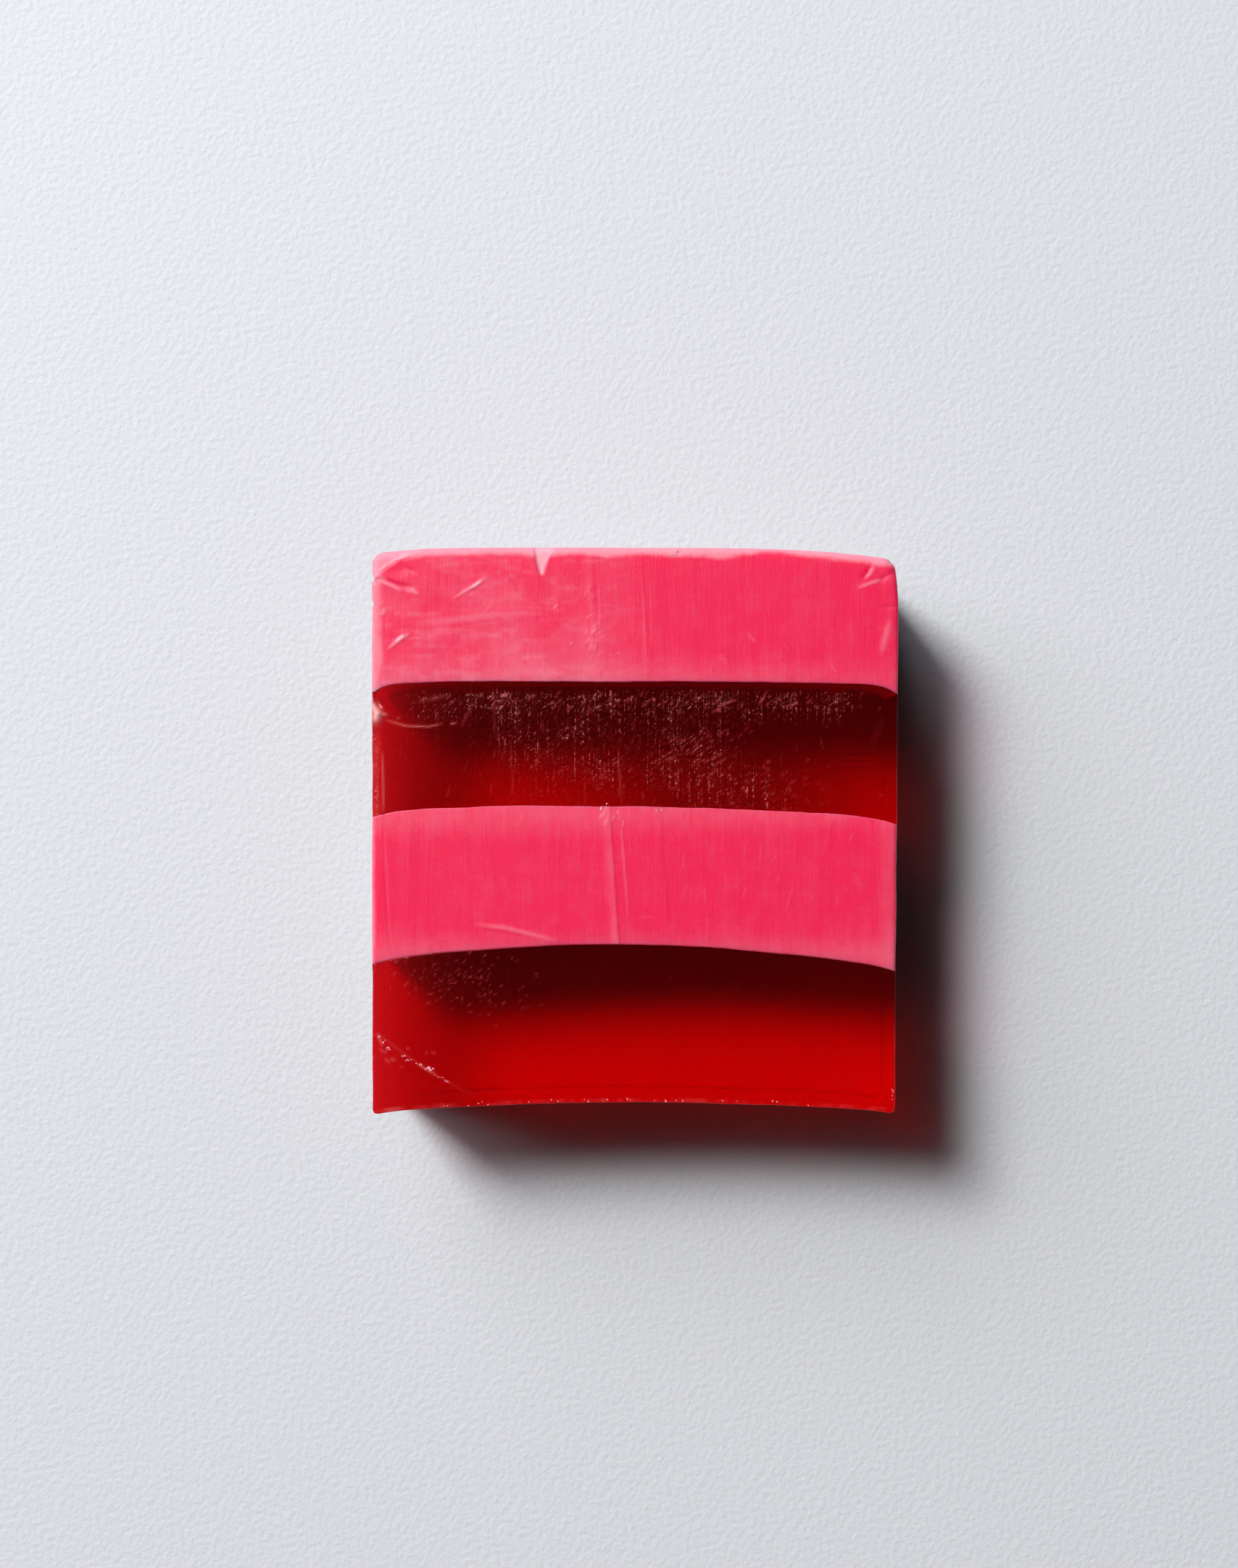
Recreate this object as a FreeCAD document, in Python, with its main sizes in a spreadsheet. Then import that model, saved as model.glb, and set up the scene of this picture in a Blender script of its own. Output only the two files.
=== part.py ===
"""A hand-cut bar of melt-and-pour soap: four poured layers, pink and clear red in turn.

Millimetres. The bar lies on one of its two cut faces: +Z is up through its thickness, and the
layers follow one another along Y, the first pour at +Y. The origin is the centre of the face
that it lies on. Every layer is one Body: a closed sketch between two shared lines, padded
through the thickness, with its outer corners and rims rounded.
"""
import FreeCAD, Part
import math
import os

import Sketcher

DIMENSIONS = [
    ("thickness", 25.0, "cut face to cut face"),
    ("top_width", 70.0, "side to side at the +Y end"),
    ("base_width", 69.0, "side to side at the -Y end"),
    ("top_middle", 37.68, "Y of the +Y edge on the centre line"),
    ("top_pink_height", 17.9, "layer heights on the centre line"),
    ("upper_red_height", 16.6, ""),
    ("middle_pink_height", 18.4, ""),
    ("lower_red_height", 20.8, ""),
    ("top_crown", 0.7, "how far each line rises between its ends"),
    ("first_joint_crown", 1.2, ""),
    ("second_joint_crown", 1.9, ""),
    ("third_joint_crown", 2.9, ""),
    ("base_crown", 1.7, ""),
    ("top_tilt", 0.0, "how much lower the +X end of each line is"),
    ("first_joint_tilt", 0.3, ""),
    ("second_joint_tilt", 0.8, ""),
    ("third_joint_tilt", 0.5, ""),
    ("base_tilt", 0.1, ""),
    ("top_corner_radius", 2.0, "outer corners of the +Y end"),
    ("base_corner_radius", 1.1, "outer corners of the -Y end"),
    ("rim_radius", 0.8, "rounding of the rim of both cut faces"),
]

# The four layers from +Y to -Y, and the five lines that they lie between.
LAYERS = ["top_pink", "upper_red", "middle_pink", "lower_red"]
LINES = ["top", "first_joint", "second_joint", "third_joint", "base"]

CLOSE = 1e-6


def make_sheet(doc):
    """The driving dimensions, one row each: name, value, note."""
    sheet = doc.addObject("Spreadsheet::Sheet", "dims")
    for row, (name, value, note) in enumerate(DIMENSIONS, start=1):
        sheet.set(f"A{row}", name)
        sheet.set(f"B{row}", str(value))
        sheet.set(f"C{row}", note)
        sheet.setAlias(f"B{row}", name)
    doc.recompute()
    return sheet


def line_expressions(line):
    """The expressions of a line's two ends and of the radius of the arc between them."""
    above = [f"dims.{layer}_height" for layer in LAYERS[: LINES.index(line)]]
    middle = " - ".join(["dims.top_middle", *above])
    end = f"{middle} - dims.{line}_crown"
    left = f"{end} + dims.{line}_tilt / 2"
    right = f"{end} - dims.{line}_tilt / 2"
    height = " + ".join(f"dims.{layer}_height" for layer in LAYERS)
    narrowing = "(dims.top_width - dims.base_width) / 2"
    half = f"dims.top_width / 2 - {narrowing} * (dims.top_middle - ({end})) / ({height})"
    crown = f"dims.{line}_crown"
    span = f"(pow({half}; 2) + pow(dims.{line}_tilt / 2; 2))"
    return {
        "left_x": f"-({half})",
        "left_y": left,
        "right_x": half,
        "right_y": right,
        "radius": f"({span} + pow({crown}; 2)) / (2 * {crown})",
    }


def arc_between(left, right, radius):
    """The arc that rises from the right end to the left end, its centre towards -Y."""
    chord = left - right
    middle = (left + right) / 2
    up = FreeCAD.Vector(chord.y, -chord.x, 0).normalize()
    centre = middle - up * math.sqrt(radius**2 - (chord.Length / 2) ** 2)
    first = math.atan2(right.y - centre.y, right.x - centre.x)
    last = math.atan2(left.y - centre.y, left.x - centre.x)
    circle = Part.Circle(centre, FreeCAD.Vector(0, 0, 1), radius)
    return Part.ArcOfCircle(circle, first, last)


def add_named(sketch, name, expression, *constraint):
    """Adds a dimension to a sketch and binds it to the sheet."""
    index = sketch.addConstraint(Sketcher.Constraint(*constraint))
    sketch.renameConstraint(index, name)
    sketch.setExpression(f"Constraints.{name}", expression)


def add_line_arc(sketch, line):
    """Adds one of the five lines to a sketch as an arc, fixed at both ends. Returns its index."""
    bound = line_expressions(line)
    now = {key: float(sketch.evalExpression(text)) for key, text in bound.items()}
    left = FreeCAD.Vector(now["left_x"], now["left_y"], 0)
    right = FreeCAD.Vector(now["right_x"], now["right_y"], 0)
    arc = sketch.addGeometry(arc_between(left, right, now["radius"]), False)
    for place, point in (("right", 1), ("left", 2)):
        for axis in ("x", "y"):
            key = f"{place}_{axis}"
            kind = f"Distance{axis.upper()}"
            add_named(sketch, f"{line}_{key}", bound[key], kind, arc, point, now[key])
    add_named(sketch, f"{line}_radius", bound["radius"], "Radius", arc, now["radius"])
    return arc


def add_side(sketch, upper, lower, point):
    """Joins the same end of two lines with a straight side."""
    geometry = sketch.Geometry
    place = "StartPoint" if point == 1 else "EndPoint"
    start = getattr(geometry[upper], place)
    end = getattr(geometry[lower], place)
    side = sketch.addGeometry(Part.LineSegment(start, end), False)
    sketch.addConstraint(Sketcher.Constraint("Coincident", side, 1, upper, point))
    sketch.addConstraint(Sketcher.Constraint("Coincident", side, 2, lower, point))


def edge_names(shape, wanted):
    """The names of the edges of a shape for which wanted(edge) is true."""
    return [f"Edge{n}" for n, edge in enumerate(shape.Edges, start=1) if wanted(edge)]


def add_fillet(doc, body, name, names, size):
    """Rounds the named edges of the body's tip, with a radius bound to the sheet."""
    base = body.Tip
    fillet = body.newObject("PartDesign::Fillet", name)
    fillet.Base = (base, names)
    fillet.setExpression("Radius", f"dims.{size}")
    doc.recompute()
    if fillet.Shape.Volume >= base.Shape.Volume:
        raise RuntimeError(f"{name} rounded nothing")


def make_layer(doc, sheet, layer):
    """One poured layer as a Body: sketch, pad, outer corners, rims."""
    place = LAYERS.index(layer)
    above, below = LINES[place], LINES[place + 1]
    label = f"{layer}_layer"
    body = doc.addObject("PartDesign::Body", label)
    body.Label = label
    plane = next(f for f in body.Origin.OriginFeatures if f.Role == "XY_Plane")

    sketch = body.newObject("Sketcher::SketchObject", f"{layer}_outline")
    sketch.AttachmentSupport = (plane, [""])
    sketch.MapMode = "FlatFace"
    upper = add_line_arc(sketch, above)
    lower = add_line_arc(sketch, below)
    for point in (1, 2):
        add_side(sketch, upper, lower, point)
    doc.recompute()

    pad = body.newObject("PartDesign::Pad", f"{layer}_pour")
    pad.Profile = sketch
    pad.setExpression("Length", "dims.thickness")
    doc.recompute()

    # Only the first and the last pour have a free end, with two outer corners.
    ends = {"top": "top_corner_radius", "base": "base_corner_radius"}
    free = [line for line in (above, below) if line in ends]
    middle_y = pad.Shape.BoundBox.Center.y
    for line in free:
        side = 1 if line == above else -1

        def is_corner(edge, side=side):
            upright = abs(edge.tangentAt(edge.FirstParameter).z) > 1 - CLOSE
            return upright and side * (edge.CenterOfMass.y - middle_y) > 0

        corners = edge_names(body.Tip.Shape, is_corner)
        add_fillet(doc, body, f"{layer}_corners", corners, ends[line])

    # The rims of both cut faces, but not where a neighbour is bonded on.
    def is_rim(edge):
        box = edge.BoundBox
        if box.ZLength > CLOSE:
            return False
        if edge.Length < sheet.top_width / 2:
            return True
        line = above if edge.CenterOfMass.y > middle_y else below
        return line in free

    add_fillet(doc, body, f"{layer}_rims", edge_names(body.Tip.Shape, is_rim), "rim_radius")
    return body


def check(doc, bodies):
    """Stops before anything is written if a feature failed or a layer isn't one valid solid."""
    for item in doc.Objects:
        if {"Invalid", "Error"} & set(item.State):
            raise RuntimeError(f"{item.Name}: {item.State}")
    for body in bodies:
        shape = body.Shape
        if shape.isNull() or not shape.isValid() or len(shape.Solids) != 1:
            raise RuntimeError(f"{body.Label} is not one valid solid")


def main():
    doc = FreeCAD.newDocument("layered_soap_bar")
    sheet = make_sheet(doc)
    bodies = [make_layer(doc, sheet, layer) for layer in LAYERS]
    doc.recompute()
    check(doc, bodies)

    os.makedirs("parts", exist_ok=True)
    whole = FreeCAD.BoundBox()
    for body in bodies:
        box = body.Shape.optimalBoundingBox()
        whole.add(box)
        body.Shape.exportStep(f"parts/{body.Label}.step")
        print(f"{body.Label}: {body.Shape.Volume / 1000:.2f} cm3, Y {box.YMin:.2f} to {box.YMax:.2f}")
    print(f"centre {whole.Center}, size {whole.XLength:.2f} {whole.YLength:.2f} {whole.ZLength:.2f}")


main()
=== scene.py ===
"""The looks of a hand-cut bar of layered soap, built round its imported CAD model.

Every layer is one closed mesh: a grid over each cut face, joined by rings down the walls.
Shapes are worked out in millimetres, in the bar's own frame: X runs across the bar, Y from the
last pour to the first and Z up through the thickness. Meshes and materials are in metres.
"""
import math

import bmesh
import bpy
import numpy as np
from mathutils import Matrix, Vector


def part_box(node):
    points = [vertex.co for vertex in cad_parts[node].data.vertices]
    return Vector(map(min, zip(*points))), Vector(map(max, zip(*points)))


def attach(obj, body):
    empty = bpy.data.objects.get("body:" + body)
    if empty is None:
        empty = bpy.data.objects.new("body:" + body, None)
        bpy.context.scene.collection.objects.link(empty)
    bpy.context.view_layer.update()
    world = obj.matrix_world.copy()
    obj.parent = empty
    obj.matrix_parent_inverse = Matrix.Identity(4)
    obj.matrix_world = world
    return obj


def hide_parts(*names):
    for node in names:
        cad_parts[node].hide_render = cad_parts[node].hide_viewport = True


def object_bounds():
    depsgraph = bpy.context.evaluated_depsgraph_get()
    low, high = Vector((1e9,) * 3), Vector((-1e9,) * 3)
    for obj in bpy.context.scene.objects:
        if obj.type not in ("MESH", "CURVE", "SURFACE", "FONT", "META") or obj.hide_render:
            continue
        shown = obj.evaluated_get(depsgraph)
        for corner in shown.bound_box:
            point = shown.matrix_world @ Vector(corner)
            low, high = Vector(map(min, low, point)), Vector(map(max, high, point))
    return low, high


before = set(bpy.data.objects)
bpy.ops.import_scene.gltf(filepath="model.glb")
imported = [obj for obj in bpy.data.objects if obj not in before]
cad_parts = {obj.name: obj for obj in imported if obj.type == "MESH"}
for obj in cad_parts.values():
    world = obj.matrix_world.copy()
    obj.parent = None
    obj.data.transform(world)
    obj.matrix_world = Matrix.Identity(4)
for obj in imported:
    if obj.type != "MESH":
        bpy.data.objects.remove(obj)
cad_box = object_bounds()  # the box of the CAD model alone

MM = 0.001
LOW, HIGH = (np.array(corner) / MM for corner in cad_box)
THICKNESS = HIGH[2] - LOW[2]
HALF_TOP = HIGH[0]      # half the width at the first pour
HALF_BASE = HALF_TOP - 0.55
FIRST_CORNER = 1.4      # the outer corners' radius that the mould gave the first pour
LAST_CORNER = 0.9       # and the last pour
FLOOR_GAP = 0.03        # keeps the lower cut face off the floor
OVERLAP = 0.05          # how far a pink layer reaches into its red neighbours
GRID = 0.205            # spacing of the grid over the cut faces
WALL_ROWS = 18
RIM_ROWS = 5
THROUGH = 30.0          # lumps of noise this tall look the same all the way through the bar

CAMERA_HEIGHT = 320.0           # above the upper cut face
PICTURE_HEIGHT = 208.3          # how much of that face's plane the picture is high
CAMERA_OVER = (-2.2, 6.2)       # the point that the camera looks straight down on
FADE = (160.0, 480.0)           # where the floor starts and ends melting into the backdrop
FLOOR_REACH = 3000.0            # from the bar to each side of the floor
LIGHT_DISTANCE = 2100.0
# For each light: how far it leans to each side for its height, its width, height, watts and colour.
WINDOW = (0.57, 520.0, 660.0, 39.6, (0.98, 1.01, 1.0))
WALL_BELOW_WINDOW = (1.05, 2100.0, 1300.0, 28.8, (1.0, 0.92, 0.98))

SOAP_IOR = 1.46
# Colours are linear: red, green, blue and alpha.
PINK = (1.0, 0.017, 0.108, 1)
# Pale pink of scuffs, and of the painted sheen and highlights.
SCUFF_AND_SHEEN_PINK = (1.0, 0.50, 0.59, 1)
BOUNCED_PINK = (0.07, 0.04, 0.055, 1)       # what bounced light meets in place of pink
LIGHT_PAST_PINK = (1.0, 0.45, 0.6, 1)       # tint of the light that passes its thin edges
RED = (0.92, 0.012, 0.02, 1)
# Pale red of scuffs and a burr, and of the painted glints.
SCUFF_AND_GLINT_RED = (0.95, 0.50, 0.50, 1)
BOUNCED_RED = (0.026, 0.006, 0.009, 1)
RED_GLINTS = (1.0, 0.44, 0.40, 1)
RED_DEPTH = {"Color": (0.986, 0.0, 0.0, 1), "Density": 400.0}
NO_LIGHT = (0, 0, 0, 1)
FLOOR = (0.730, 0.740, 0.771, 1)
BACKDROP = {"Color": (0.90, 0.91, 0.93, 1), "Strength": 0.75}
DIM_ROOM = {"Color": (0.9, 0.95, 1.0, 1), "Strength": 0.008}


# ---------------------------------------------------------------- seeded noise

def lattice(cell, seed):
    """A fixed number from -1 to 1 for each whole cell."""
    i, j, k = (cell[..., axis].astype(np.int64) for axis in range(3))
    n = (i * 374761393 + j * 668265263 + k * 1440662683 + seed * 974634777) & 0xFFFFFFFF
    n = ((n ^ (n >> 13)) * 1274126177) & 0xFFFFFFFF
    n = n ^ (n >> 16)
    return n / 2147483647.5 - 1


def noise(points, size, seed):
    """Smooth noise from about -1 to 1 over points in mm, in lumps of a size given for X, Y and Z."""
    scaled = points / np.broadcast_to(np.array(size, float), 3) + seed * 17.31
    cell = np.floor(scaled)
    part = scaled - cell
    part = part * part * part * (part * (part * 6 - 15) + 10)
    total = np.zeros(points.shape[:-1])
    for corner in np.ndindex(2, 2, 2):
        weight = np.prod(np.where(corner, part, 1 - part), axis=-1)
        total += weight * lattice(cell + corner, seed)
    return total


def step(low, high, value):
    """0 below low, 1 above high and smooth between."""
    t = np.clip((value - low) / (high - low), 0, 1)
    return t * t * (3 - 2 * t)


def stroke(points, path, width):
    """1 on a path of (x, y) points, fading away on both sides and towards its ends."""
    path = np.array(path, float)
    reach = 3 * width
    above = points[:, :2] > path.min(axis=0) - reach
    below = points[:, :2] < path.max(axis=0) + reach
    near = np.all(above & below, axis=1)
    everywhere = np.zeros(len(points))
    flat = points[near, :2]
    best = np.zeros(len(flat))
    last = len(path) - 1
    for n, (start, end) in enumerate(zip(path, path[1:])):
        along = end - start
        t = np.clip((flat - start) @ along / (along @ along), 0, 1)
        off = np.linalg.norm(flat - start - t[:, None] * along, axis=1)
        place = (n + t) / last
        taper = 0.25 + 0.75 * (1 - np.abs(2 * place - 1) ** 3)
        best = np.maximum(best, taper * np.exp(-((off / width) ** 2)))
    everywhere[near] = best
    return everywhere


def blob(points, centre, size):
    """1 at a centre, fading to 0 over a size given for X and Y."""
    off = (points[:, :2] - np.array(centre)) / np.array(size)
    return np.exp(-(off**2).sum(axis=1))


# ---------------------------------------------------------------- the bar's outline

def highest(node):
    """The highest Y in mm of a CAD layer."""
    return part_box(node)[1][1] / MM


def at_xz(x, z):
    """Points in the plane Y = 0, for noise that changes with X and Z only."""
    return np.stack([x, np.zeros_like(x), np.broadcast_to(z, x.shape)], -1)


def make_line(peak, peak_x, crown, curl, reach, seed):
    """A line across the bar: it falls off to both sides and curls down at the mould walls."""

    def line(x, z):
        out = np.maximum(HALF_TOP - np.abs(x), 0)
        y = peak - crown * ((x - peak_x) / HALF_TOP) ** 2 - curl * np.exp(-out / reach)
        wave = 0.10 * noise(at_xz(x, z), (9, 1, 7), seed)
        return y + wave + 0.03 * noise(at_xz(x, z), 1.7, seed + 5)

    return line


def top_edge(x, z):
    """The first pour's outer edge, level in the middle and easing down to its corners."""
    left = np.maximum(-x - 18, 0) / 17
    right = np.maximum(x - 12, 0) / 23
    drop = 0.8 * left**3 + 1.5 * right**2.2
    return HIGH[1] - 0.05 - drop + 0.08 * noise(at_xz(x, z), (14, 1, 8), 41)


LINES = [
    top_edge,
    make_line(highest("upper_red_layer") + 0.05, -8, 0.27, 1.25, 1.5, 11),
    make_line(highest("middle_pink_layer") + 0.05, -10, 0.90, 1.00, 2.8, 12),
    make_line(highest("lower_red_layer") + 0.10, -3, 2.60, 0.50, 2.5, 13),
    make_line(highest("lower_red_layer") - 20.9, 0.5, 1.30, 0.35, 2.0, 14),
]
JOINT_ENDS = [float(line(np.array([HALF_TOP]), THICKNESS)[0]) for line in LINES[1:4]]


def half_width(y, z, side):
    """From the centre line to a wall. The -X wall is straight and the +X wall leans in."""
    share = (HIGH[1] - y) / (HIGH[1] - LOW[1])
    place = np.stack([np.full_like(y, side * 30.0), y, np.broadcast_to(z, y.shape)], -1)
    wave = 0.05 * noise(place, (1, 13, 9), 21) + 0.04 * noise(place, (1, 3.5, 3), 22)
    if side > 0:
        shoulder = 0.75 * (np.maximum(y - 30, 0) / 7.7) ** 1.5
        return HALF_TOP + (HALF_BASE - HALF_TOP) * share + wave - shoulder
    near_top = step(THICKNESS - 4.0, THICKNESS, z)
    notches = 0.40 * np.exp(-(((y - 33.5) / 0.35) ** 2))
    notches += 0.22 * np.exp(-(((y - 30.2) / 0.3) ** 2))
    return HALF_TOP + 0.04 - 0.06 * (1 - pinkness(y)) + wave - near_top * notches


def pinkness(y):
    """1 where the walls are pink and 0 where they are red."""
    first, second, third = (step(-0.5, 0.5, y - end) for end in JOINT_ENDS)
    return first + third - second


def rim_radius(x, y, z_is_top):
    """How much the rim of a cut face is rounded at a place on the outline."""
    place = np.stack([x, y, np.full_like(x, 1.0 if z_is_top else 9.0)], -1)
    at_top = step(HIGH[1] - 4.0, HIGH[1] - 1.5, y)
    usual = 0.16 + 0.30 * pinkness(y) + 0.05 * noise(place, 3, 31)
    return usual + at_top * (0.45 + 0.25 * noise(place, 5, 32))


# ---------------------------------------------------------------- meshes

class Layer:
    """The grid of one pour, between two of the five lines."""

    def __init__(self, index):
        self.first = index == 0
        self.last = index == len(LINES) - 2
        self.is_pink = index % 2 == 0
        self.upper, self.lower = LINES[index], LINES[index + 1]
        self.reach_up = OVERLAP if self.is_pink and not self.first else 0.0
        self.reach_down = OVERLAP if self.is_pink and not self.last else 0.0
        height = float(self.upper(np.zeros(1), 0.0)[0] - self.lower(np.zeros(1), 0.0)[0])
        self.across = round(2 * HALF_TOP / GRID)
        self.along = round(height / GRID)

    def place(self, u, v, z, inset, z_is_top):
        """Points for u across and v along, both 0 to 1. inset: how much of the rim is in."""
        rough_x = (2 * u - 1) * HALF_TOP
        upper = self.upper(rough_x, z) + self.reach_up
        lower = self.lower(rough_x, z) - self.reach_down
        y = lower + v * (upper - lower)
        left, right = (half_width(y, z, side) for side in (-1, 1))
        left = left - inset * rim_radius(-left, y, z_is_top)
        right = right - inset * rim_radius(right, y, z_is_top)
        x = -left + u * (left + right)
        if self.first:
            rim = inset * rim_radius(x, upper, z_is_top)
            y = y - rim * v
            x, y = round_corner(x, y, upper, left, right, rim, FIRST_CORNER, 1)
        if self.last:
            rim = inset * rim_radius(x, lower, z_is_top)
            y = y + rim * (1 - v)
            x, y = round_corner(x, y, lower, left, right, rim, LAST_CORNER, -1)
        return x, y

    def ring(self):
        """u and v once round the outline, counterclockwise from the lower left."""
        u = np.arange(self.across) / self.across
        v = np.arange(self.along) / self.along
        zero_u, zero_v = np.zeros_like(u), np.zeros_like(v)
        ring_u = np.concatenate([u, zero_v + 1, 1 - u, zero_v])
        ring_v = np.concatenate([zero_u, v, zero_u + 1, 1 - v])
        return ring_u, ring_v

    def rows(self):
        """The rings from the lower cut face up: how far in, how far up, and which face is near."""
        angles = np.linspace(0, math.pi / 2, RIM_ROWS + 1)
        for angle in angles[::-1]:
            yield 1 - math.cos(angle), 1 - math.sin(angle), "lower"
        for share in np.linspace(0, 1, WALL_ROWS + 1)[1:-1]:
            yield 0.0, share, "wall"
        for angle in angles:
            yield 1 - math.cos(angle), 1 - math.sin(angle), "upper"

    def mesh_data(self):
        """The layer's points in mm and its four-sided faces."""
        ring_u, ring_v = self.ring()
        rims = []
        for z, z_is_top in ((0.0, False), (THICKNESS, True)):
            x, y = self.place(ring_u, ring_v, z, 0.0, z_is_top)
            rims.append(rim_radius(x, y, z_is_top))
        low_rim, high_rim = rims
        parts = []
        for inset, share, near in self.rows():
            z = {
                "lower": share * low_rim,
                "wall": low_rim + share * (THICKNESS - low_rim - high_rim),
                "upper": THICKNESS - share * high_rim,
            }[near]
            x, y = self.place(ring_u, ring_v, z, inset, near == "upper")
            parts.append(np.stack([x, y, z], -1))

        count = len(ring_u)
        each = np.arange(count)
        after = np.roll(each, -1)
        faces = []
        for row in range(len(parts) - 1):
            here, above = row * count, (row + 1) * count
            faces.append(np.stack([here + each, here + after, above + after, above + each], -1))

        across, along = self.across, self.along
        inner_u, inner_v = np.meshgrid(
            np.arange(1, across) / across, np.arange(1, along) / along, indexing="ij"
        )
        for border, z, z_is_top in ((0, 0.0, False), (len(parts) - 1, THICKNESS, True)):
            x, y = self.place(inner_u.ravel(), inner_v.ravel(), z, 1.0, z_is_top)
            start = sum(len(part) for part in parts)
            parts.append(np.stack([x, y, np.full_like(x, z)], -1))
            faces.append(self.cut_face(border * count, start, z_is_top))
        return np.concatenate(parts), np.concatenate(faces)

    def cut_face(self, border, start, z_is_top):
        """The faces of a cut face: a grid from start, bordered by the ring from border."""
        across, along = self.across, self.along
        n, m = np.arange(across), np.arange(along)
        index = np.empty((across + 1, along + 1), int)
        inner = start + np.arange((across - 1) * (along - 1))
        index[1:across, 1:along] = inner.reshape(across - 1, along - 1)
        index[n, 0] = border + n
        index[across, m] = border + across + m
        index[across - n, along] = border + across + along + n
        index[0, along - m] = border + 2 * across + along + m
        quads = [index[:-1, :-1], index[1:, :-1], index[1:, 1:], index[:-1, 1:]]
        if not z_is_top:
            quads.reverse()
        return np.stack([quad.ravel() for quad in quads], -1)


def round_corner(x, y, edge, left, right, rim, radius, way):
    """Bends the square outer corners of a free end onto quarter circles. way: 1 at +Y, -1 at -Y."""
    half = np.where(x < 0, left, right)
    out_x = np.abs(x) - (half - radius + rim)
    out_y = way * (y - edge) + radius
    corner = (out_x > 0) & (out_y > 0)
    far = np.hypot(out_x, out_y)
    scale = np.where(corner, np.maximum(out_x, out_y) / np.maximum(far, 1e-9), 1.0)
    new_x = np.sign(x) * (half - radius + rim + out_x * scale)
    new_y = edge + way * (out_y * scale - radius)
    return np.where(corner, new_x, x), np.where(corner, new_y, y)


def vertex_normals(points, faces):
    """Area-weighted normals at the points."""
    a, b, c, d = (points[faces[:, n]] for n in range(4))
    face = np.cross(c - a, d - b)
    total = np.zeros_like(points)
    for n in range(4):
        for axis in range(3):
            total[:, axis] += np.bincount(faces[:, n], face[:, axis], len(points))
    return total / np.maximum(np.linalg.norm(total, axis=1, keepdims=True), 1e-12)


def build_mesh(name, points, faces, values):
    """A smooth-shaded object from points in mm, with named numbers kept at its vertices."""
    mesh = bpy.data.meshes.new(name)
    mesh.vertices.add(len(points))
    mesh.vertices.foreach_set("co", (points * MM).ravel())
    mesh.loops.add(faces.size)
    mesh.loops.foreach_set("vertex_index", faces.ravel())
    mesh.polygons.add(len(faces))
    mesh.polygons.foreach_set("loop_start", np.arange(0, faces.size, faces.shape[1]))
    mesh.polygons.foreach_set("use_smooth", np.ones(len(faces), bool))
    for key, numbers in values.items():
        mesh.attributes.new(key, "FLOAT", "POINT").data.foreach_set("value", numbers)
    mesh.update(calc_edges=True)
    mesh.validate()
    piece = bpy.data.objects.new(name, mesh)
    bpy.context.scene.collection.objects.link(piece)
    return piece


# ---------------------------------------------------------------- marks of the knife, and the sheen, highlights and glints painted on them

def flecks(seed, count, centre, spread, angle, length, width, proud, pale):
    """Short scratches scattered round a centre, all lying about the same way. On the red layers their
    paleness is mostly a painted glint.
    """
    random = np.random.default_rng(seed)
    marks = []
    for _ in range(count):
        middle = np.array(centre) + random.normal(0, 1, 2) * spread
        turn = math.radians(angle + random.normal(0, 12))
        half = 0.5 * length * random.uniform(0.5, 1.5) * np.array([math.cos(turn), math.sin(turn)])
        marks.append(([middle - half, middle + half], width, proud, pale * random.uniform(0.4, 1)))
    return marks
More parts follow.
